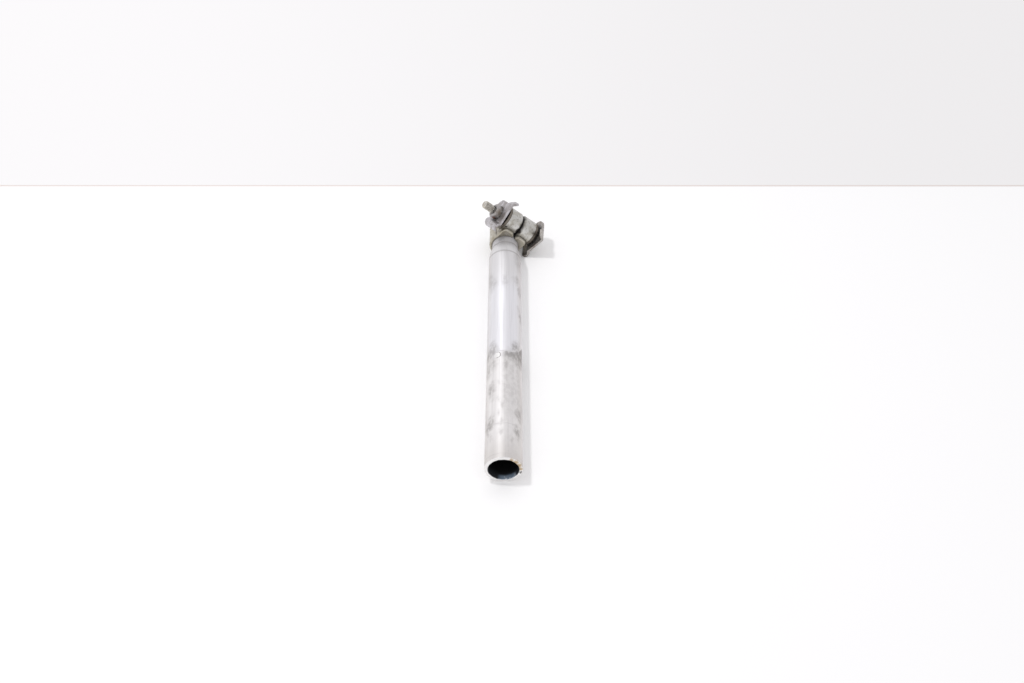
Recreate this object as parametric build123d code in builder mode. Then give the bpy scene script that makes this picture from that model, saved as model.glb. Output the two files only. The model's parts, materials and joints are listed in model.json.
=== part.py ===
"""Bicycle seatpost: a plain alloy post with a steel saddle clip on its neck, lying as it comes to rest.

The post's axis is +Y, from the open lower end to the neck, and +Z is up.
The origin is on the axis, in the plane of the open end.
"""
import os
from math import cos, radians, sin, sqrt

from build123d import *

# Post
tube_diameter = 27.2
tube_wall = 2.6
tube_length = 223.0
shoulder_length = 14.0
neck_diameter = 22.2
neck_wall = 2.6
neck_length = 37.0
end_chamfer = 0.5

# How the clip is set: turn about the post, tilt of each side about the bolt, bare neck below the band
clip_roll = 39.8
left_tilt = 58.0
right_tilt = 96.0
bare_neck = 7.0

# Split band
band_width = 26.0
band_thickness = 2.3
band_slit = 1.4
band_edge_radius = 1.6
neck_clearance = 0.15
shoulder_height = 15.0
shoulder_inset = 0.4
shoulder_corner_radius = 4.0
shoulder_slit_chamfer = 2.6
boss_radius = 10.5
boss_half_length = 13.2
boss_slit_chamfer = 1.4

# Cross bolt and nut
bolt_diameter = 7.0
bolt_to_neck = 1.7
bolt_hole_clearance = 0.25
bolt_end = 10.5
bolt_end_chamfer = 0.9
hex_across_flats = 11.0
hex_crown_taper = 60.0
head_height = 4.0
nut_height = 6.0
thread_clearance = 0.1
seat_gap = 0.05

# Cheeks, and rail seats between them and the outer plates
cheek_gap = 0.2
rail_diameter = 7.0
rail_clearance = 0.1
rail_spacing = 34.4
rail_drop = 11.3
seat_mouth = 1.2
plate_thickness = 2.0
plate_length = 27.0
plate_lower_edge = 14.5
plate_upper_edge = 12.0
plate_corner_radius = 8.0
tab_width = 8.0
tab_length = 5.5
tab_bend = 55.0
tab_bend_radius = 2.6
cheek_flange = 2.0
cheek_hub_radius = 7.6

# Derived sizes
tube_radius = tube_diameter / 2
neck_radius = neck_diameter / 2
bore_radius = tube_radius - tube_wall
neck_bore_radius = neck_radius - neck_wall
shoulder_end = tube_length + shoulder_length
post_length = shoulder_end + neck_length
band_bore = neck_radius + neck_clearance
band_outer = band_bore + band_thickness
bolt_radius = bolt_diameter / 2
bolt_hole_radius = bolt_radius + bolt_hole_clearance
bolt_offset = neck_radius + bolt_radius + bolt_to_neck
bolt_station = shoulder_end + bare_neck + band_width / 2
seat_radius = rail_diameter / 2 + rail_clearance
cheek_inner = boss_half_length + cheek_gap
plate_inner = rail_spacing / 2 + seat_mouth
plate_outer = plate_inner + plate_thickness
hex_seat = plate_outer + seat_gap
hex_corner = hex_across_flats / sqrt(3)

# Directions along the post, along the bolt from left to right, and from post to bolt
roll = radians(clip_roll)
along_post = Vector(0, 1, 0)
along_bolt = Vector(cos(roll), 0, -sin(roll))
away = Vector(sin(roll), 0, cos(roll))

# Planes and axis of the clip
bolt_centre = along_post * bolt_station + away * bolt_offset
bolt_axis = Axis(bolt_centre, along_bolt)
band_plane = Plane(along_post * bolt_station, x_dir=along_bolt, z_dir=-along_post)
bolt_section = Plane(bolt_centre, x_dir=along_bolt, z_dir=-along_post)


def rail_direction(tilt):
    """Direction of the rails at a tilt: away from the post at 0, turned towards its lower end."""
    return away * cos(radians(tilt)) - along_post * sin(radians(tilt))


def across_bolt(side, distance):
    """Plane square to the bolt and facing outwards, on the right for side 1 and on the left for side -1."""
    return Plane(bolt_centre + along_bolt * side * distance, x_dir=along_post, z_dir=along_bolt * side)


def across_rails(side, tilt, along=0):
    """Section square to the rails: x runs outwards from the plate's inner face, y up the plate."""
    rails = rail_direction(tilt)
    origin = bolt_centre + along_bolt * side * plate_inner + rails * along
    return Plane(origin, x_dir=along_bolt * side, z_dir=rails * side)


def crowned_hexagon(side, height):
    """Hexagon standing on an outer plate, the corners of its free end turned down to a crown."""
    with BuildPart() as hexagon:
        with BuildSketch(across_bolt(side, hex_seat)):
            RegularPolygon(hex_corner, 6)
        extrude(amount=height)
        with BuildSketch(across_bolt(-side, -hex_seat - height)):
            Circle(hex_across_flats / 2)
        extrude(amount=height, taper=-hex_crown_taper, mode=Mode.INTERSECT)
    return hexagon.part


def inner_cheek(side, tilt):
    """Flange against a boss, on a hub that backs the outer plate, bitten away where the rail passes."""
    with BuildPart() as cheek:
        with BuildSketch(across_bolt(side, cheek_inner)):
            Circle(boss_radius)
        extrude(amount=cheek_flange)
        with BuildSketch(across_bolt(side, cheek_inner)):
            Circle(cheek_hub_radius)
        extrude(amount=plate_inner - cheek_inner)
        with BuildSketch(across_bolt(side, 0)):
            Circle(bolt_hole_radius)
        extrude(amount=rail_spacing, mode=Mode.SUBTRACT)
        with BuildSketch(across_rails(side, tilt)):
            with Locations((-seat_mouth, -rail_drop)):
                Circle(seat_radius)
        extrude(amount=plate_length, both=True, mode=Mode.SUBTRACT)
    return cheek.part


def outer_plate(side, tilt):
    """Pressed plate with a ridge over the rail, rounded corners and a tab bent in over the cheek."""
    bend = radians(tab_bend)
    with BuildPart() as plate:
        with BuildSketch(across_rails(side, tilt)):
            with Locations((-seat_mouth, -rail_drop)):
                Circle(seat_radius + plate_thickness)
            with Locations((0, -plate_lower_edge)):
                Rectangle(
                    rail_spacing,
                    2 * plate_lower_edge,
                    align=(Align.MIN, Align.MIN),
                    mode=Mode.INTERSECT,
                )
            with Locations((0, -rail_drop)):
                Rectangle(plate_thickness, rail_drop + plate_upper_edge, align=(Align.MIN, Align.MIN))
            with Locations((-seat_mouth, -rail_drop)):
                Circle(seat_radius, mode=Mode.SUBTRACT)
        extrude(amount=plate_length / 2, both=True)
        corners = plate.edges().filter_by(bolt_axis).sort_by(Axis(bolt_centre, rail_direction(tilt)))
        fillet(corners[0:2], plate_corner_radius)
        with BuildSketch(across_rails(side, tilt, plate_length / 2 - tab_width / 2)):
            with BuildLine():
                FilletPolyline(
                    (plate_thickness / 2, 0),
                    (plate_thickness / 2, plate_upper_edge),
                    (
                        plate_thickness / 2 - tab_length * sin(bend),
                        plate_upper_edge + tab_length * cos(bend),
                    ),
                    radius=tab_bend_radius,
                )
            trace(line_width=plate_thickness)
        extrude(amount=tab_width / 2, both=True)
        with BuildSketch(across_bolt(side, 0)):
            Circle(bolt_hole_radius)
        extrude(amount=rail_spacing, mode=Mode.SUBTRACT)
    return plate.part


# Post: one tube, its upper end drawn in to a rounded shoulder and a neck, bored through
with BuildPart() as post_tube:
    with BuildSketch(Plane.XY):
        with BuildLine():
            Polyline(
                (bore_radius, tube_length),
                (bore_radius, 0),
                (tube_radius - end_chamfer, 0),
                (tube_radius, end_chamfer),
                (tube_radius, tube_length),
            )
            TangentArc(
                (tube_radius, tube_length),
                (neck_radius, shoulder_end),
                tangent=(0, 1),
            )
            Polyline(
                (neck_radius, shoulder_end),
                (neck_radius, post_length - end_chamfer),
                (neck_radius - end_chamfer, post_length),
                (neck_bore_radius, post_length),
                (neck_bore_radius, shoulder_end),
                (bore_radius, tube_length),
            )
        make_face()
    revolve(axis=Axis.Y)

# Band: a loop round the neck with square shoulders at its slit, and a round boss on each side for the bolt
with BuildPart() as clip_band:
    with BuildSketch(band_plane) as loop:
        Circle(band_outer)
        shoulder_width = 2 * (boss_half_length - shoulder_inset)
        Rectangle(shoulder_width, shoulder_height, align=(Align.CENTER, Align.MIN))
        fillet(loop.vertices().group_by(Axis.Y)[-1], shoulder_corner_radius)
        with Locations((0, shoulder_height)):
            Rectangle(band_slit, 2 * (shoulder_height - neck_radius / 2), mode=Mode.SUBTRACT)
        slit_corners = loop.vertices().group_by(Axis.Y)[-1].sort_by(lambda vertex: abs(vertex.X))[0:2]
        chamfer(slit_corners, shoulder_slit_chamfer)
    extrude(amount=band_width / 2, both=True)
    fillet(clip_band.faces().filter_by(Axis.Y).edges(), band_edge_radius)
    with BuildSketch(bolt_section) as boss_halves:
        with Locations((band_slit / 2, 0)):
            Rectangle(boss_half_length - band_slit / 2, boss_radius, align=(Align.MIN, Align.MIN))
        crown = boss_halves.vertices().group_by(Axis.Y)[-1].sort_by(Axis.X)
        chamfer(crown[0], boss_slit_chamfer)
        mirror(about=Plane.YZ)
    revolve(axis=bolt_axis)
    with BuildSketch(band_plane):
        Circle(band_bore)
    extrude(amount=band_width, both=True, mode=Mode.SUBTRACT)
    with BuildSketch(across_bolt(1, 0)):
        Circle(bolt_hole_radius)
    extrude(amount=2 * boss_half_length, both=True, mode=Mode.SUBTRACT)

# Cross bolt: hexagon head on the right plate, threaded end beyond the nut on the left
with BuildPart() as clamp_bolt:
    add(crowned_hexagon(1, head_height))
    with BuildSketch(across_bolt(-1, -hex_seat)):
        Circle(bolt_radius)
    extrude(amount=2 * hex_seat + nut_height + bolt_end)
    chamfer(clamp_bolt.faces().sort_by(bolt_axis)[0].edges(), bolt_end_chamfer)

# Nut, on the left plate
with BuildPart() as clamp_nut:
    add(crowned_hexagon(-1, nut_height))
    with BuildSketch(across_bolt(-1, hex_seat)):
        Circle(bolt_radius + thread_clearance)
    extrude(amount=nut_height, mode=Mode.SUBTRACT)

pieces = {
    "post_tube": post_tube.part,
    "clip_band": clip_band.part,
    "inner_cheek_left": inner_cheek(-1, left_tilt),
    "inner_cheek_right": inner_cheek(1, right_tilt),
    "outer_plate_left": outer_plate(-1, left_tilt),
    "outer_plate_right": outer_plate(1, right_tilt),
    "clamp_bolt": clamp_bolt.part,
    "clamp_nut": clamp_nut.part,
}
os.makedirs("parts", exist_ok=True)
for name, piece in pieces.items():
    piece.label = name
    export_step(piece, f"parts/{name}.step")
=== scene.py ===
import json
import math

import bmesh
import bpy
from mathutils import Matrix, Vector


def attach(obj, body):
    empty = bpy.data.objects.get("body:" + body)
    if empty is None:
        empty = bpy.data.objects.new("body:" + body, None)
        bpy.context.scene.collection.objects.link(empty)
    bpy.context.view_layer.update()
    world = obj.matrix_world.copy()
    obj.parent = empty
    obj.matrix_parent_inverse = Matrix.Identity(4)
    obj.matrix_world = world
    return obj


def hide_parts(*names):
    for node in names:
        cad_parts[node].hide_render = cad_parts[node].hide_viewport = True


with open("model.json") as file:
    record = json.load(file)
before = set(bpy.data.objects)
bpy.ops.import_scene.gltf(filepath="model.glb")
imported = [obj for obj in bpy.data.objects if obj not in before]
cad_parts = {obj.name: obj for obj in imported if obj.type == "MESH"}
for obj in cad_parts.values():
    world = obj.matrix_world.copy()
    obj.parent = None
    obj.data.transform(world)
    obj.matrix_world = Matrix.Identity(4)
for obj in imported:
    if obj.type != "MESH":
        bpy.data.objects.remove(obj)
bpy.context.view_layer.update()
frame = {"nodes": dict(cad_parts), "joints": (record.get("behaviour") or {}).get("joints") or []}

# Post: one drawn aluminium tube, its upper end turned down to a rounded shoulder and a neck.
# The part above the collar line stayed in the open and is polished; below it the seat tube left
# grey rub marks, rings and dried grease. The saw-cut lower end has a burr and one nick.
post_outer = 0.0136
post_bore = 0.0110
post_length = 0.223
post_shoulder = 0.014
post_neck = 0.0111
post_neck_bore = 0.0085
post_top = 0.274
post_rim_round = 0.0004
post_steps = 144
post_rows = 60
shoulder_rows = 8
nick_turn = math.radians(-16)
nick_reach = 0.0022
nick_depth = 0.0013
nick_steepness = 0.6
burr_zone = 0.0003
burr_height = 0.00008


def lathe(mesh, profile, steps, closed=True):
    """Spin a profile of points (radius, y) about the Y axis; an open one starts and ends on the axis."""
    verts = [mesh.verts.new((radius, y, 0)) for radius, y in profile]
    edges = [mesh.edges.new(pair) for pair in zip(verts, verts[1:])]
    if closed:
        edges.append(mesh.edges.new((verts[-1], verts[0])))
    bmesh.ops.spin(
        mesh,
        geom=verts + edges,
        cent=(0, 0, 0),
        axis=(0, 1, 0),
        angle=math.tau,
        steps=steps,
        use_merge=True,
    )
    bmesh.ops.remove_doubles(mesh, verts=mesh.verts, dist=1e-7)
    bmesh.ops.recalc_face_normals(mesh, faces=mesh.faces)


def finish_piece(name, mesh, sharp_deg):
    """Turn a bmesh into an object at the origin, smooth but for edges sharper than the angle."""
    data = bpy.data.meshes.new(name)
    for face in mesh.faces:
        face.smooth = True
    for edge in mesh.edges:
        edge.smooth = edge.calc_face_angle(0) < math.radians(sharp_deg)
    mesh.to_mesh(data)
    mesh.free()
    piece = bpy.data.objects.new(name, data)
    bpy.context.scene.collection.objects.link(piece)
    return piece


shoulder_drop = post_outer - post_neck
shoulder_radius = (shoulder_drop ** 2 + post_shoulder ** 2) / (2 * shoulder_drop)
shoulder_angle = math.asin(post_shoulder / shoulder_radius)
shoulder_arc = []
for row in range(shoulder_rows + 1):
    turn = shoulder_angle * row / shoulder_rows
    arc_radius = post_outer - shoulder_radius * (1 - math.cos(turn))
    shoulder_arc.append((arc_radius, post_length + shoulder_radius * math.sin(turn)))
post_side = [(post_outer, post_length * row / post_rows) for row in range(1, post_rows)]
post_mesh = bmesh.new()
lathe(
    post_mesh,
    [
        (post_bore, post_rim_round / 2),
        (post_bore + post_rim_round / 2, 0),
        (post_outer - post_rim_round, 0),
        (post_outer - post_rim_round / 4, post_rim_round / 4),
        (post_outer, post_rim_round),
        *post_side,
        *shoulder_arc,
        (post_neck, post_top - post_rim_round),
        (post_neck - post_rim_round, post_top),
        (post_neck_bore, post_top),
        (post_neck_bore, post_length + post_shoulder),
        (post_bore, post_length),
    ],
    post_steps,
)
nick = Vector((post_outer * math.cos(nick_turn), 0, post_outer * math.sin(nick_turn)))
for vert in post_mesh.verts:
    reach = (vert.co - nick).length / nick_reach
    if reach < 1:
        vert.co.y += nick_depth * (1 - reach) ** nick_steepness
    elif vert.co.y < burr_zone:
        turn = math.atan2(vert.co.z, vert.co.x)
        vert.co.y += burr_height * (math.sin(turn * 7) + math.sin(turn * 17 + 1) + 2)
post = finish_piece("post", post_mesh, sharp_deg=15)
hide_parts("post_tube")
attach(post, "post")


def shader(tree, kind, inputs=None, **settings):
    """Add a node; a socket given as an input is linked, anything else is set."""
    node = tree.nodes.new(kind)
    for key, value in settings.items():
        setattr(node, key, value)
    for key, value in (inputs or {}).items():
        if isinstance(value, bpy.types.NodeSocket):
            tree.links.new(value, node.inputs[key])
        else:
            node.inputs[key].default_value = value
    return node


def sums(tree, operation, first, second=0.0):
    """One sum on two values, kept between 0 and 1."""
    node = shader(tree, "ShaderNodeMath", {0: first, 1: second}, operation=operation, use_clamp=True)
    return node.outputs[0]


def vectors(tree, operation, first, second=(0, 0, 0)):
    """Outputs of one sum on two vectors: the first is a vector, and Value is a number."""
    return shader(tree, "ShaderNodeVectorMath", {0: first, 1: second}, operation=operation).outputs


def scaled(tree, value, factor, base):
    """The value times a factor, added to a base."""
    node = shader(tree, "ShaderNodeMath", {0: value, 1: factor, 2: base}, operation="MULTIPLY_ADD")
    return node.outputs[0]


def fade(tree, value, low, high, start=0.0, end=1.0):
    """Smooth change from start to end while the value goes from low to high."""
    return shader(
        tree,
        "ShaderNodeMapRange",
        {"Value": value, "From Min": low, "From Max": high, "To Min": start, "To Max": end},
        interpolation_type="SMOOTHSTEP",
    ).outputs[0]


def line(tree, value, at, width):
    """1 where the value is at a place, fading to 0 a width to either side."""
    gap = shader(tree, "ShaderNodeMath", {0: value, 1: at}, operation="SUBTRACT").outputs[0]
    off = shader(tree, "ShaderNodeMath", {0: gap}, operation="ABSOLUTE").outputs[0]
    return fade(tree, off, 0.0, width, 1.0, 0.0)


def grain(tree, place, scale, detail, stretch=(1, 1, 1)):
    """Noise on the piece's own coordinates, drawn out along an axis by a small stretch value."""
    drawn = shader(tree, "ShaderNodeMapping", {"Vector": place, "Scale": stretch}).outputs[0]
    noise = shader(tree, "ShaderNodeTexNoise", {"Vector": drawn, "Scale": scale, "Detail": detail})
    return noise.outputs[0]


def warped(tree, place, scale, amount):
    """Coordinates pushed about by noise, so that what is drawn on them gets a torn outline."""
    noise = shader(tree, "ShaderNodeTexNoise", {"Vector": place, "Scale": scale, "Detail": 5.0})
    push = vectors(tree, "SUBTRACT", noise.outputs["Color"], (0.5, 0.5, 0.5))[0]
    return shader(
        tree,
        "ShaderNodeVectorMath",
        {0: push, 1: (amount, amount, amount), 2: place},
        operation="MULTIPLY_ADD",
    ).outputs[0]


def patch(tree, place, centre, radius, core=0.3):
    """Soft spot round a point on the surface, full strength over its core, a share of its radius."""
    away = vectors(tree, "DISTANCE", place, centre)["Value"]
    return fade(tree, away, radius * core, radius, 1.0, 0.0)


def tint(tree, factor, first, second):
    """Colour between two colours."""
    mix = shader(tree, "ShaderNodeMix", {0: factor, 6: first, 7: second}, data_type="RGBA")
    return mix.outputs[2]


def new_material(name):
    """Material with one Principled shader, and the piece's own coordinates."""
    material = bpy.data.materials.new(name)
    material.use_nodes = True
    tree = material.node_tree
    tree.nodes.clear()
    surface = shader(tree, "ShaderNodeBsdfPrincipled")
    output = shader(tree, "ShaderNodeOutputMaterial")
    tree.links.new(surface.outputs[0], output.inputs[0])
    place = shader(tree, "ShaderNodeTexCoord").outputs["Object"]
    return material, tree, surface, place


def on_post(y, lean_deg):
    """Point on the tube's outside, by its distance from the open end and its angle from the top line."""
    lean = math.radians(lean_deg)
    return (post_outer * math.sin(lean), y, post_outer * math.cos(lean))


alloy, tree, surface, place = new_material("rubbed_aluminium")
axes = shader(tree, "ShaderNodeSeparateXYZ", {0: place}).outputs
across = axes["X"]
along = axes["Y"]
upwards = axes["Z"]
flat = vectors(tree, "MULTIPLY", place, (1, 0, 1))[0]
radius = vectors(tree, "LENGTH", flat)["Value"]
torn = warped(tree, place, 140, 0.009)
smudged = warped(tree, place, 400, 0.003)
cloud = grain(tree, place, 110, 5, (1, 0.6, 1))
mottle = grain(tree, place, 420, 6, (1, 0.6, 1))
streak = grain(tree, place, 900, 3, (1, 0.02, 1))
hoops = grain(tree, place, 900, 3, (0.05, 1, 0.05))
speck = grain(tree, place, 2200, 2)

# Zones of the post: rubbed by the seat tube below the collar line, which bows up at the sides,
# polished above it, and dull near the shoulder.
collar_line = 0.1036
collar_bow = 0.013
collar_sides = collar_line + collar_bow
polish_end = 0.186
wavy = scaled(tree, cloud, 0.004, along)
bowed = scaled(tree, fade(tree, upwards, 0.0, post_outer), collar_bow, wavy)
below = fade(tree, bowed, collar_sides + 0.0015, collar_sides + 0.0025, 1.0, 0.0)
worn = fade(tree, scaled(tree, mottle, 0.020, bowed), collar_line + 0.014, collar_line + 0.034, 1.0, 0.0)
upper = fade(tree, scaled(tree, cloud, 0.030, along), polish_end - 0.005, polish_end + 0.035)
neck = fade(tree, along, post_length + 0.004, post_length + post_shoulder)
turned = fade(tree, along, post_length - 0.002, post_length + 0.003)
# Both sides of the tube are darkened to a warm grey, broken up by the cloud: partly real tarnish on the
# rubbed edges, partly painted shade and painted reflection of the shadowed table beside the tube.
tarnished_and_shaded_right = fade(tree, across, post_outer * 0.60, post_outer * 0.95, 0.0, 0.55)
tarnished_and_shaded_left = fade(tree, across, post_outer * -0.98, post_outer * -0.70, 0.45, 0.0)
tarnished_and_shaded_sides = sums(tree, "ADD", tarnished_and_shaded_right, tarnished_and_shaded_left)
tarnished_and_shaded_sides = sums(tree, "MULTIPLY", tarnished_and_shaded_sides, fade(tree, cloud, 0.30, 0.55, 0.5, 1.0))
near_end = fade(tree, along, 0.0, 0.030, 1.0, 0.0)

# Grey smears along the sides, each by its distance from the open end, its angle from the top line,
# its radius and its strength, and a painted shade over the right half of the rubbed zone, for the darker
# room mirrored there.
smear_draw = 0.5
drawn_out = vectors(tree, "MULTIPLY", torn, (1, smear_draw, 1))[0]
smears = sums(tree, "MULTIPLY", worn, fade(tree, cloud, 0.50, 0.72, 0.0, 0.4))
for smear_y, smear_lean, smear_radius, smear_weight in (
    (0.1085, -41, 0.0062, 0.85),
    (0.1050, -54, 0.0065, 0.85),
    (0.0940, -41, 0.0065, 0.50),
    (0.0880, -58, 0.0065, 0.55),
    (0.1078, 46, 0.0070, 0.95),
    (0.1020, 46, 0.0070, 0.95),
    (0.0946, 51, 0.0060, 0.65),
    (0.0910, 10, 0.0055, 0.60),
    (0.0990, 24, 0.0070, 0.45),
    (0.0662, -41, 0.0060, 0.80),
    (0.0360, -41, 0.0050, 0.80),
    (0.0311, -51, 0.0055, 0.85),
    (0.0432, 52, 0.0050, 0.70),
    (0.0269, 47, 0.0060, 0.85),
    (0.0541, 43, 0.0060, 0.40),
    (0.1842, -45, 0.0070, 0.40),
    (0.1896, -58, 0.0070, 0.45),
    (0.1839, 2, 0.0045, 0.35),
    (0.1890, 46, 0.0045, 0.55),
    (0.1776, 65, 0.0045, 0.70),
    (0.1542, 55, 0.0040, 0.40),
    (0.1473, 69, 0.0040, 0.70),
    (0.2140, 60, 0.0080, 0.35),
    (0.070, 150, 0.0080, 0.55),
    (0.135, -140, 0.0070, 0.40),
    (0.040, -165, 0.0075, 0.50),
    (0.200, 165, 0.0075, 0.35),
):
    smear_place = Vector(on_post(smear_y, smear_lean)) * Vector((1, smear_draw, 1))
    smear = patch(tree, drawn_out, smear_place, smear_radius, 0.1)
    smears = sums(tree, "MAXIMUM", smears, sums(tree, "MULTIPLY", smear, smear_weight))
smears = sums(tree, "MULTIPLY", smears, fade(tree, mottle, 0.32, 0.60, 0.40, 1.0))
shade = sums(tree, "MULTIPLY", below, fade(tree, across, -0.004, 0.001, 0.0, 0.34))
shade = sums(tree, "MULTIPLY", shade, fade(tree, across, 0.0105, 0.0135, 1.0, 0.0))
shade = sums(tree, "MULTIPLY", shade, fade(tree, along, 0.030, 0.058, 0.4, 1.0))
shade = sums(tree, "MULTIPLY", shade, fade(tree, mottle, 0.35, 0.62, 0.5, 1.0))

# A dark stain under the collar line, fine rings by place, width and strength, the widest of them painted
# shade in the neck's crease, and a chip with a dark edge.
stain = sums(tree, "MULTIPLY", below, fade(tree, along, collar_line - 0.016, collar_line - 0.001))
stain = sums(tree, "MULTIPLY", stain, fade(tree, across, -0.004, 0.003))
stain = sums(tree, "MULTIPLY", stain, fade(tree, mottle, 0.30, 0.60, 0.55, 1.0))
rings = sums(tree, "MULTIPLY", line(tree, along, post_length - 0.0004, 0.0016), 0.55)
for ring_y, ring_width, ring_weight in (
    # Painted shade: this widest, darkest ring lies in the crease where the shoulder meets the neck.
    (post_length + post_shoulder - 0.0004, 0.0022, 0.80),
    (collar_line + 0.0008, 0.0007, 0.45),
    (0.0320, 0.0007, 0.35),
    (0.0040, 0.0010, 0.12),
):
    ring = sums(tree, "MULTIPLY", line(tree, wavy, ring_y + 0.002, ring_width), ring_weight)
    rings = sums(tree, "MAXIMUM", rings, ring)
chip_place = on_post(0.1005, -23)
chip_away = vectors(tree, "DISTANCE", warped(tree, place, 300, 0.002), chip_place)["Value"]
chip = fade(tree, chip_away, 0.0018, 0.0026, 1.0, 0.0)
chip_edge = line(tree, chip_away, 0.0027, 0.0007)
chip_edge = sums(tree, "MULTIPLY", chip_edge, fade(tree, across, -0.0068, -0.0052))
# The marks carry painted shade, on the right half and in the neck's crease, as well as the real smears,
# stain, rings and chip edge.
marks_and_painted_shade = smears
for mark in (shade, stain, rings, chip_edge):
    marks_and_painted_shade = sums(tree, "MAXIMUM", marks_and_painted_shade, mark)
marks_and_painted_shade = sums(tree, "SUBTRACT", marks_and_painted_shade, chip)

# Dried grease along the upper right of the rim, the nick painted near black as painted shade, the bright
# saw cut and the bore, which is painted dark as painted shade, darkest deep in, but for a painted pool of
# light on a crescent at the bottom of its mouth.
grease = 0.0
for grease_place, grease_radius in (
    ((0.0055, 0, 0.0103), 0.0024),
    ((0.0086, 0, 0.0080), 0.0030),
    ((0.0109, 0, 0.0045), 0.0032),
    ((0.0120, 0, 0.0008), 0.0026),
):
    grease = sums(tree, "MAXIMUM", patch(tree, smudged, grease_place, grease_radius), grease)
grease = sums(tree, "MULTIPLY", grease, fade(tree, mottle, 0.30, 0.50, 0.35, 1.0))
# Painted shade: the nick is darkened nearly to black.
nick_shade = patch(tree, smudged, nick * 0.96, 0.0017, 0.5)
sawn = fade(tree, along, 0.0004, 0.0009, 1.0, 0.0)
in_tube = fade(tree, radius, post_bore + 0.0001, post_bore + 0.0005, 1.0, 0.0)
in_tube = sums(tree, "MULTIPLY", in_tube, fade(tree, along, post_length - 0.001, post_length, 1.0, 0.0))
in_neck = fade(tree, radius, post_neck_bore + 0.0001, post_neck_bore + 0.0006, 1.0, 0.0)
inside = sums(tree, "MAXIMUM", in_tube, in_neck)
# Painted light: a bluish crescent low in the bore's mouth, leaning to the right, where light falls in, with
# a paler painted highlight streak inside it.
lit_crescent = fade(tree, scaled(tree, across, -0.30, upwards), -0.0108, -0.0085, 1.0, 0.0)
at_mouth = fade(tree, scaled(tree, mottle, 0.004, along), 0.004, 0.007, 1.0, 0.0)
lit_crescent = sums(tree, "MULTIPLY", lit_crescent, at_mouth)
lit_streak = sums(tree, "MULTIPLY", lit_crescent, fade(tree, mottle, 0.50, 0.62, 0.0, 0.8))

polished = (0.83, 0.825, 0.85, 1)
weathered = (0.76, 0.75, 0.755, 1)
rubbed = (0.86, 0.84, 0.83, 1)
soiled_end = (0.52, 0.48, 0.44, 1)
dull_neck = (0.62, 0.61, 0.62, 1)
tarnish_and_shade = (0.52, 0.49, 0.47, 1)
scratch_grey = (0.50, 0.49, 0.49, 1)
smear_and_shade_grey = (0.20, 0.18, 0.165, 1)
fresh_cut = (0.86, 0.85, 0.84, 1)
dried_grease = (0.50, 0.35, 0.17, 1)
nick_shade_black = (0.05, 0.04, 0.03, 1)
shaded_bore_mouth = (0.030, 0.034, 0.040, 1)
deep_bore_shade = (0.008, 0.008, 0.009, 1)
lit_crescent_blue = (0.26, 0.34, 0.45, 1)
lit_streak_pale = (0.75, 0.80, 0.85, 1)
# Painted shade inside the bore, darker deeper in, with the painted light of the crescent and its streak
# laid over it.
bore_shade_and_light = tint(tree, fade(tree, along, 0.001, 0.008), shaded_bore_mouth, deep_bore_shade)
bore_shade_and_light = tint(tree, lit_crescent, bore_shade_and_light, lit_crescent_blue)
bore_shade_and_light = tint(tree, lit_streak, bore_shade_and_light, lit_streak_pale)
colour = tint(tree, upper, polished, weathered)
for cover, cover_colour in (
    (worn, rubbed),
    (sums(tree, "MULTIPLY", near_end, 0.40), soiled_end),
    (neck, dull_neck),
    (tarnished_and_shaded_sides, tarnish_and_shade),
    (fade(tree, streak, 0.50, 0.75, 0.0, 0.25), scratch_grey),
    (sums(tree, "MULTIPLY", marks_and_painted_shade, 0.70), smear_and_shade_grey),
    (sums(tree, "MAXIMUM", sawn, chip), fresh_cut),
    (sums(tree, "MULTIPLY", grease, 0.9), dried_grease),
    (nick_shade, nick_shade_black),
    (inside, bore_shade_and_light),
):
    colour = tint(tree, cover, colour, cover_colour)
tree.links.new(colour, surface.inputs["Base Color"])
rough = 0.34
for cover, roughening in ((upper, 0.04), (worn, 0.02), (turned, 0.16), (marks_and_painted_shade, 0.20), (streak, 0.10)):
    rough = scaled(tree, cover, roughening, rough)
rough = sums(tree, "MAXIMUM", rough, sums(tree, "MULTIPLY", grease, 0.8))
tree.links.new(rough, surface.inputs["Roughness"])
dull = sums(tree, "ADD", sums(tree, "MULTIPLY", marks_and_painted_shade, 0.6), sums(tree, "MULTIPLY", turned, 0.45))
for cover in (grease, nick_shade, inside):
    dull = sums(tree, "MAXIMUM", dull, cover)
tree.links.new(sums(tree, "SUBTRACT", 1.0, dull), surface.inputs["Metallic"])
relief = sums(tree, "ADD", sums(tree, "MULTIPLY", streak, 0.4), sums(tree, "MULTIPLY", speck, below))
relief = sums(tree, "ADD", relief, sums(tree, "MULTIPLY", hoops, 0.3))
bump = shader(tree, "ShaderNodeBump", {"Strength": 0.12, "Distance": 0.0002, "Height": relief})
tree.links.new(bump.outputs[0], surface.inputs["Normal"])
post.data.materials.append(alloy)

# Band: one steel forging, a split loop round the neck with square shoulders and a round boss on each
# side of its slit. It is zinc plated; the plating has gone dull and yellow, with grime and painted shade in
# every corner.
tilt_joint = next(joint for joint in frame["joints"] if joint["name"] == "left_tilt")
bolt_centre = Vector(tilt_joint["pos_m"])
bolt_axis = Vector(tilt_joint["axis"])
bolt_away = bolt_axis.cross(Vector((0, 1, 0)))
grime = (0.20, 0.18, 0.15, 1)
yellowing = (0.38, 0.33, 0.22, 1)
red_rust = (0.20, 0.070, 0.035, 1)
# Near black for grime and for painted shade in corners, slits and spots.
soot_and_shade = (0.020, 0.016, 0.013, 1)


def on_clip(beside, outwards, along_post):
    """Point by its distances from the bolt's centre: along the bolt, away from the post, along the post."""
    return bolt_centre + bolt_axis * beside + bolt_away * outwards + Vector((0, along_post, 0))


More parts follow.
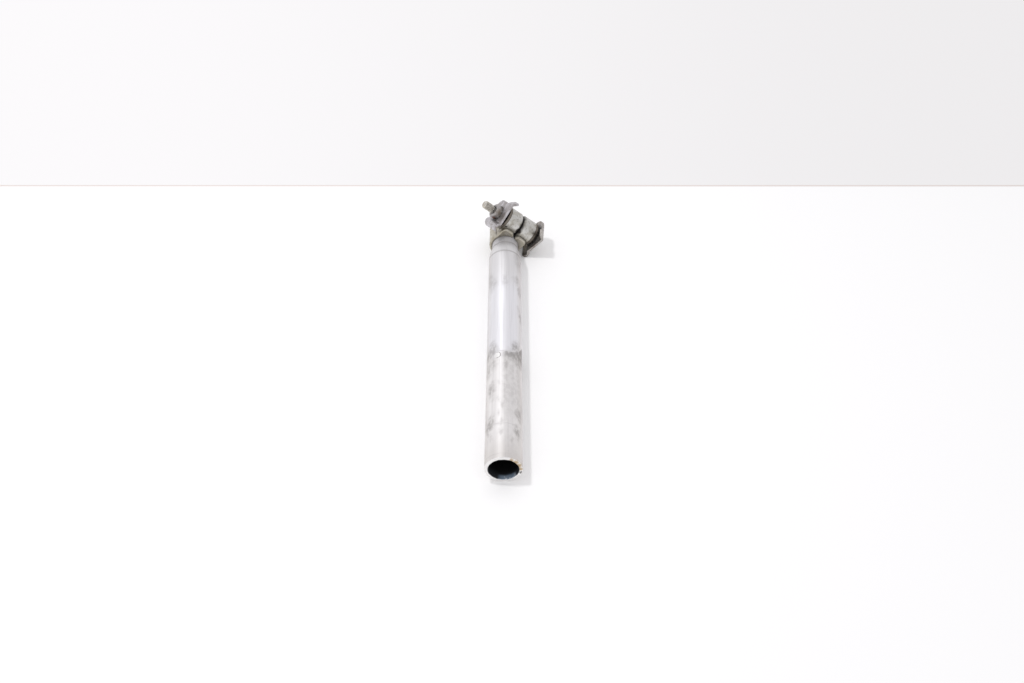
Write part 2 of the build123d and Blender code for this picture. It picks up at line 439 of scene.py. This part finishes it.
def plated_steel(name, clean, stained, roughness, rust=0.0, rust_spots=(), shade_spots=(), slit=0.0):
    """Dull zinc on steel: cloudy stains, grime with painted shade packed into corners, a cast grain, and
    rust and spots of painted shade if any.

    A slit width darkens the rims on both sides of the clip's middle plane, above the neck, with painted
    shade, and the plating is yellower below the bolt.
    """
    material, tree, surface, place = new_material(name)
    torn = warped(tree, place, 300, 0.003)
    cloud = grain(tree, place, 150, 5)
    mottle = grain(tree, place, 520, 6)
    speck = grain(tree, place, 2400, 2)
    # Painted shade: where the occlusion node finds corners and hollows the colour goes towards black,
    # broken up by the mottle; partly grime, partly painted shade.
    closed = shader(tree, "ShaderNodeAmbientOcclusion", {"Distance": 0.006}, samples=8).outputs["AO"]
    grime_and_shade = fade(tree, closed, 0.30, 0.90, 1.0, 0.0)
    grime_and_shade = sums(tree, "MULTIPLY", grime_and_shade, fade(tree, mottle, 0.30, 0.55, 0.65, 1.0))
    for centre, spot_radius in shade_spots:
        grime_and_shade = sums(tree, "MAXIMUM", grime_and_shade, patch(tree, torn, centre, spot_radius, 0.7))
    rusty = fade(tree, mottle, 0.60, 0.72, 0.0, rust)
    for centre, spot_radius in rust_spots:
        rusty = sums(tree, "MAXIMUM", rusty, patch(tree, torn, centre, spot_radius))
    colour = tint(tree, fade(tree, cloud, 0.36, 0.70), clean, stained)
    colour = tint(tree, fade(tree, mottle, 0.46, 0.74, 0.0, 0.45), colour, grime)
    if slit:
        from_bolt = vectors(tree, "SUBTRACT", torn, bolt_centre)[0]
        beside = vectors(tree, "DOT_PRODUCT", from_bolt, bolt_axis)["Value"]
        outwards = vectors(tree, "DOT_PRODUCT", from_bolt, bolt_away)["Value"]
        # Painted shade on the slit's rims above the neck.
        rims = sums(tree, "MULTIPLY", line(tree, beside, 0.0, slit), fade(tree, outwards, -0.012, -0.008))
        grime_and_shade = sums(tree, "MAXIMUM", grime_and_shade, rims)
        colour = tint(tree, fade(tree, outwards, -0.005, 0.004, 0.5, 0.0), colour, yellowing)
    colour = tint(tree, rusty, colour, red_rust)
    colour = tint(tree, grime_and_shade, colour, soot_and_shade)
    tree.links.new(colour, surface.inputs["Base Color"])
    grime_rust_and_shade = sums(tree, "MAXIMUM", grime_and_shade, rusty)
    rough = scaled(tree, mottle, 0.30, roughness - 0.15)
    rough = sums(tree, "ADD", rough, sums(tree, "MULTIPLY", grime_rust_and_shade, 0.35))
    tree.links.new(rough, surface.inputs["Roughness"])
    tree.links.new(sums(tree, "SUBTRACT", 0.95, grime_rust_and_shade), surface.inputs["Metallic"])
    rounded = shader(tree, "ShaderNodeBevel", {"Radius": 0.0005}, samples=6).outputs[0]
    height = sums(tree, "ADD", sums(tree, "MULTIPLY", mottle, 0.7), sums(tree, "MULTIPLY", speck, 0.3))
    bump = shader(
        tree, "ShaderNodeBump", {"Strength": 0.40, "Distance": 0.0004, "Height": height, "Normal": rounded}
    )
    tree.links.new(bump.outputs[0], surface.inputs["Normal"])
    return material


def finish_node(name, material):
    """Give a solid that keeps its shape its real finish."""
    node = frame["nodes"][name]
    node.data.materials.clear()
    node.data.materials.append(material)


# Painted shade: a near-black spot where the slit opens between the shoulders and the bosses, and a small
# one for a pit on the left boss.
slit_crossing = on_clip(-0.4e-3, 1.5e-3, -9.4e-3)
boss_pit = on_clip(-12.0e-3, -0.6e-3, -10.5e-3)
finish_node(
    "clip_band",
    plated_steel(
        "yellowed_zinc",
        (0.62, 0.615, 0.59, 1),
        (0.45, 0.43, 0.38, 1),
        0.32,
        rust=0.15,
        shade_spots=((slit_crossing, 0.0031), (boss_pit, 0.0014)),
        # Painted shade on the slit's rims.
        slit=0.0030,
    ),
)

# Cheeks: two steel discs on hubs, slid over the bolt against the bosses.
# They sit in shadow; their zinc is painted almost black-brown as painted shade.
shade_dark_zinc = plated_steel("shade_dark_zinc", (0.24, 0.21, 0.18, 1), (0.13, 0.11, 0.09, 1), 0.50, rust=0.25)
finish_node("inner_cheek_left", shade_dark_zinc)
finish_node("inner_cheek_right", shade_dark_zinc)

# Plates: pressed from steel sheet, with a rolled seat for the rail along one edge and a tab bent in
# at a corner. The left one is the cleanest piece of the clip, a cool grey; the right one is browner.
finish_node(
    "outer_plate_left",
    plated_steel("cool_zinc", (0.59, 0.57, 0.59, 1), (0.38, 0.355, 0.35, 1), 0.40, rust=0.20),
)
finish_node(
    "outer_plate_right",
    plated_steel("brown_zinc", (0.47, 0.45, 0.43, 1), (0.31, 0.27, 0.24, 1), 0.42, rust=0.25),
)

# Bolt: a long hexagon bolt through both sides, turned from steel bar with a rolled thread.
# Its threaded end stands out beyond the nut, a little yellowed, with grime and painted shade in the thread
# and a painted shadow where it leaves the nut.
bolt_radius = 0.0035
bolt_seat = 0.02045
bolt_tip = 0.03695
bolt_steps = 48
head_corner = 0.011 / math.sqrt(3)
head_height = 0.004
head_chamfer = 0.0009
thread_start = 0.0140
thread_pitch = 0.0011
thread_depth = 0.00055
thread_lead = 0.0006
thread_turns = int((bolt_tip - thread_lead - thread_start) / thread_pitch)
thread_end = thread_start + thread_turns * thread_pitch
thread_root = bolt_radius - thread_depth
thread = []
for turn in range(thread_turns):
    root = thread_start + turn * thread_pitch
    thread.append((thread_root, root))
    thread.append((bolt_radius, root + thread_pitch / 2))
bolt_mesh = bmesh.new()
lathe(
    bolt_mesh,
    [
        (0, -bolt_seat),
        (bolt_radius, -bolt_seat),
        (bolt_radius, thread_start - thread_pitch / 2),
        *thread,
        (thread_root, thread_end),
        (thread_root, bolt_tip - thread_lead),
        (thread_root - thread_lead, bolt_tip),
        (0, bolt_tip),
    ],
    bolt_steps,
    closed=False,
)
head_mesh = bmesh.new()
bmesh.ops.create_cone(
    head_mesh, cap_ends=True, segments=6, radius1=head_corner, radius2=head_corner, depth=head_height
)
free_end = [face for face in head_mesh.faces if face.normal.z > 0.9]
rim_edges = [edge for face in free_end for edge in face.edges]
bmesh.ops.bevel(
    head_mesh, geom=rim_edges, offset=head_chamfer, affect="EDGES", segments=1, profile=0.5, material=-1
)
outward = Matrix.Rotation(math.pi / 2, 3, "X")
bmesh.ops.rotate(head_mesh, verts=head_mesh.verts, cent=(0, 0, 0), matrix=outward)
bmesh.ops.translate(head_mesh, verts=head_mesh.verts, vec=(0, -bolt_seat - head_height / 2, 0))
head_data = bpy.data.meshes.new("head")
head_mesh.to_mesh(head_data)
head_mesh.free()
bolt_mesh.from_mesh(head_data)
bpy.data.meshes.remove(head_data)
lie = Vector((0, 1, 0)).rotation_difference(-bolt_axis).to_matrix().to_4x4()
bmesh.ops.transform(bolt_mesh, matrix=Matrix.Translation(bolt_centre) @ lie, verts=bolt_mesh.verts)
bolt = finish_piece("bolt", bolt_mesh, sharp_deg=25)
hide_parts("clamp_bolt")
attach(bolt, "clip")
# Painted shadow: a dark spot round the thread where it leaves the nut.
thread_foot = on_clip(-26.6e-3, 0, 0)
bolt.data.materials.append(
    plated_steel(
        "pale_zinc",
        (0.66, 0.63, 0.57, 1),
        (0.47, 0.42, 0.34, 1),
        0.38,
        shade_spots=((thread_foot, 0.0041),),
    )
)

# Nut: a crowned hexagon nut on the left plate. Its sides are browned, its end is grey,
# and red rust has run from its lowest corner.
nut_corner = on_clip(-23.0e-3, -4.0e-3, -4.5e-3)
finish_node(
    "clamp_nut",
    plated_steel(
        "browned_zinc",
        (0.53, 0.52, 0.52, 1),
        (0.30, 0.25, 0.20, 1),
        0.36,
        rust=0.5,
        rust_spots=((nut_corner, 0.0032),),
    ),
)

# Table: a white painted top that ends behind the clip in a thin tan edging.
# To the camera and in the metal it glows a little, so that it comes out white and keeps its shadow.
table_height = -0.0136
table_end = 0.348
table_depth = 2.4
table_half_width = 2.5
table_glow = 0.14
edging_width = 0.0022


def table_strip(name, near, far):
    """Flat strip over the table's whole width, between two distances along the post."""
    mesh = bmesh.new()
    bmesh.ops.create_grid(mesh, x_segments=1, y_segments=1, size=1)
    bmesh.ops.scale(mesh, verts=mesh.verts, vec=(table_half_width, (far - near) / 2, 1))
    bmesh.ops.translate(mesh, verts=mesh.verts, vec=(0, (near + far) / 2, table_height))
    return finish_piece(name, mesh, sharp_deg=30)


def matt_coat(name, coat_colour):
    """Material with no shine, of one colour."""
    material, tree, surface, _ = new_material(name)
    surface.inputs["Base Color"].default_value = coat_colour
    surface.inputs["Roughness"].default_value = 0.9
    surface.inputs["Specular IOR Level"].default_value = 0.0
    return material, tree, surface


table = table_strip("table", table_end - table_depth, table_end)
white_paint, tree, surface = matt_coat("white_paint", (0.92, 0.915, 0.92, 1))
surface.inputs["Emission Color"].default_value = (1, 1, 1, 1)
rays = shader(tree, "ShaderNodeLightPath").outputs
seen = sums(tree, "ADD", rays["Is Camera Ray"], rays["Is Glossy Ray"])
tree.links.new(sums(tree, "MULTIPLY", seen, table_glow), surface.inputs["Emission Strength"])
table.data.materials.append(white_paint)
edging = table_strip("edging", table_end, table_end + edging_width)
edging.data.materials.append(matt_coat("tan_edge", (0.84, 0.77, 0.74, 1))[0])

# Light: one soft lamp high on the left, in a pale room that is a little darker on the right.
# The room's wall shows behind the table, and the metal mirrors a bright window and a darker ceiling.
window_side = -0.27
window_width = 0.37
window_white = (1.58, 1.58, 1.61, 1)
ceiling_grey = (0.42, 0.42, 0.44, 1)
room_grey = (0.76, 0.755, 0.765, 1)
lamp_place = Vector((-0.42, 0.16, 1.10))
lamp_aim = Vector((0, 0.16, 0))
world = bpy.data.worlds.new("pale_room")
bpy.context.scene.world = world
world.use_nodes = True
tree = world.node_tree
room = tree.nodes["Background"]
rays = shader(tree, "ShaderNodeLightPath").outputs
outlook = shader(tree, "ShaderNodeTexCoord").outputs["Generated"]
heading = shader(tree, "ShaderNodeSeparateXYZ", {0: outlook}).outputs
side = heading["X"]
ahead = heading["Y"]
overhead = heading["Z"]
window = sums(tree, "MULTIPLY", line(tree, side, window_side, window_width), fade(tree, ahead, 0.20, 0.45))
window = sums(tree, "MULTIPLY", window, fade(tree, overhead, 0.25, 0.50))
ceiling = fade(tree, overhead, 0.35, 0.75, 0.0, 0.85)
ceiling = sums(tree, "MULTIPLY", ceiling, line(tree, ahead, -0.05, 0.45))
mirrored = tint(tree, fade(tree, side, -0.4, 0.5), (0.95, 0.94, 0.96, 1), (0.87, 0.86, 0.88, 1))
mirrored = tint(tree, ceiling, mirrored, ceiling_grey)
mirrored = tint(tree, window, mirrored, window_white)
wall = tint(tree, fade(tree, side, -0.42, 0.50), (0.975, 0.96, 0.975, 1), (0.855, 0.84, 0.85, 1))
colour = tint(tree, rays["Is Glossy Ray"], room_grey, mirrored)
colour = tint(tree, rays["Is Camera Ray"], colour, wall)
tree.links.new(colour, room.inputs["Color"])
lamp_data = bpy.data.lights.new("softbox", "AREA")
lamp_data.size = 0.09
lamp_data.energy = 3.6
lamp = bpy.data.objects.new("softbox", lamp_data)
bpy.context.scene.collection.objects.link(lamp)
lamp.location = lamp_place
lamp.rotation_euler = (lamp_aim - lamp_place).to_track_quat("-Z", "Y").to_euler()
lamp.visible_glossy = False

# Camera: looking down at the post from beyond its open end, in a picture 1024 pixels wide.
camera_pitch = 45.1
focal_pixels = 1050
picture_pixels = 1024
camera_data = bpy.data.cameras.new("camera")
camera_data.sensor_width = 36
camera_data.lens = camera_data.sensor_width * focal_pixels / picture_pixels
camera = bpy.data.objects.new("camera", camera_data)
bpy.context.scene.collection.objects.link(camera)
camera.location = (0.006, -0.457, 0.5864)
camera.rotation_euler = (math.radians(90 - camera_pitch), 0, 0)
bpy.context.scene.camera = camera
bpy.context.scene.view_settings.view_transform = "Standard"
